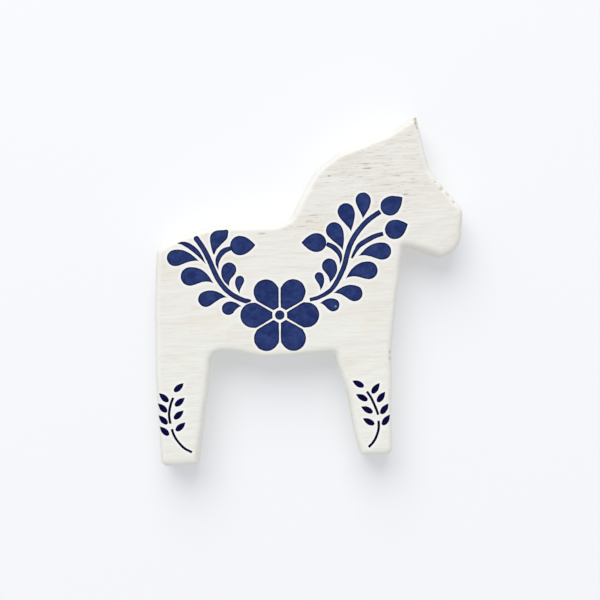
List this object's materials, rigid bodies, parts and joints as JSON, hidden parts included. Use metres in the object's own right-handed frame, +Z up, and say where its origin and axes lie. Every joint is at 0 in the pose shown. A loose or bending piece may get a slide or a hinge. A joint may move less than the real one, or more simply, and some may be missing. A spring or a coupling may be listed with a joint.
{
  "type": "dala horse figure",
  "caption": "Flat standing horse sawn from one whitewashed board with rounded edges, with a stencilled flower, garlands and leg sprigs in dark blue on its front face.",
  "frame": {"origin": "middle of the horse's box in plan, on the surface that its feet stand on", "axes": "+X towards the horse's nose, +Z up to the ear, the decorated face looks towards -Y"},
  "size_m": [0.127, 0.0192, 0.1354],
  "materials": {
    "whitewashed_pine": "thin warm-white wash over fine straight grain, sanded soft at the edges",
    "stencil_blue": "matt stencilled acrylic paint, dark blue, slightly mottled",
    "sprig_navy": "matt stencilled acrylic paint, near-black navy"
  },
  "bodies": {
    "root": {"horse_body": "whitewashed_pine", "flower_centre": "stencil_blue", "flower_petal_1": "stencil_blue", "flower_petal_2": "stencil_blue", "flower_petal_3": "stencil_blue", "flower_petal_4": "stencil_blue", "flower_petal_5": "stencil_blue", "flower_petal_6": "stencil_blue", "front_garland_stem": "stencil_blue", "front_garland_twig_1": "stencil_blue", "front_garland_twig_2": "stencil_blue", "front_garland_bud_1": "stencil_blue", "front_garland_bud_2": "stencil_blue", "front_garland_bud_3": "stencil_blue", "front_garland_leaf_1": "stencil_blue", "front_garland_leaf_2": "stencil_blue", "front_garland_leaf_3": "stencil_blue", "front_garland_leaf_4": "stencil_blue", "front_garland_leaf_5": "stencil_blue", "front_garland_leaf_6": "stencil_blue", "front_garland_leaf_7": "stencil_blue", "front_garland_leaf_8": "stencil_blue", "front_garland_leaf_9": "stencil_blue", "rear_garland_stem": "stencil_blue", "rear_garland_twig_1": "stencil_blue", "rear_garland_twig_2": "stencil_blue", "rear_garland_bud": "stencil_blue", "rear_garland_leaf_1": "stencil_blue", "rear_garland_leaf_2": "stencil_blue", "rear_garland_leaf_3": "stencil_blue", "rear_garland_leaf_4": "stencil_blue", "rear_garland_leaf_5": "stencil_blue", "rear_garland_leaf_6": "stencil_blue", "rear_garland_leaf_7": "stencil_blue", "front_leg_leaf_1": "sprig_navy", "front_leg_leaf_2": "sprig_navy", "front_leg_leaf_3": "sprig_navy", "front_leg_leaf_4": "sprig_navy", "front_leg_leaf_5": "sprig_navy", "front_leg_leaf_6": "sprig_navy", "front_leg_leaf_7": "sprig_navy", "front_leg_leaf_8": "sprig_navy", "front_leg_stem_1": "sprig_navy", "front_leg_stem_2": "sprig_navy", "rear_leg_leaf_1": "sprig_navy", "rear_leg_leaf_2": "sprig_navy", "rear_leg_leaf_3": "sprig_navy", "rear_leg_leaf_4": "sprig_navy", "rear_leg_leaf_5": "sprig_navy", "rear_leg_leaf_6": "sprig_navy", "rear_leg_leaf_7": "sprig_navy", "rear_leg_leaf_8": "sprig_navy", "rear_leg_stem_1": "sprig_navy", "rear_leg_stem_2": "sprig_navy"}
  },
  "joints": []
}
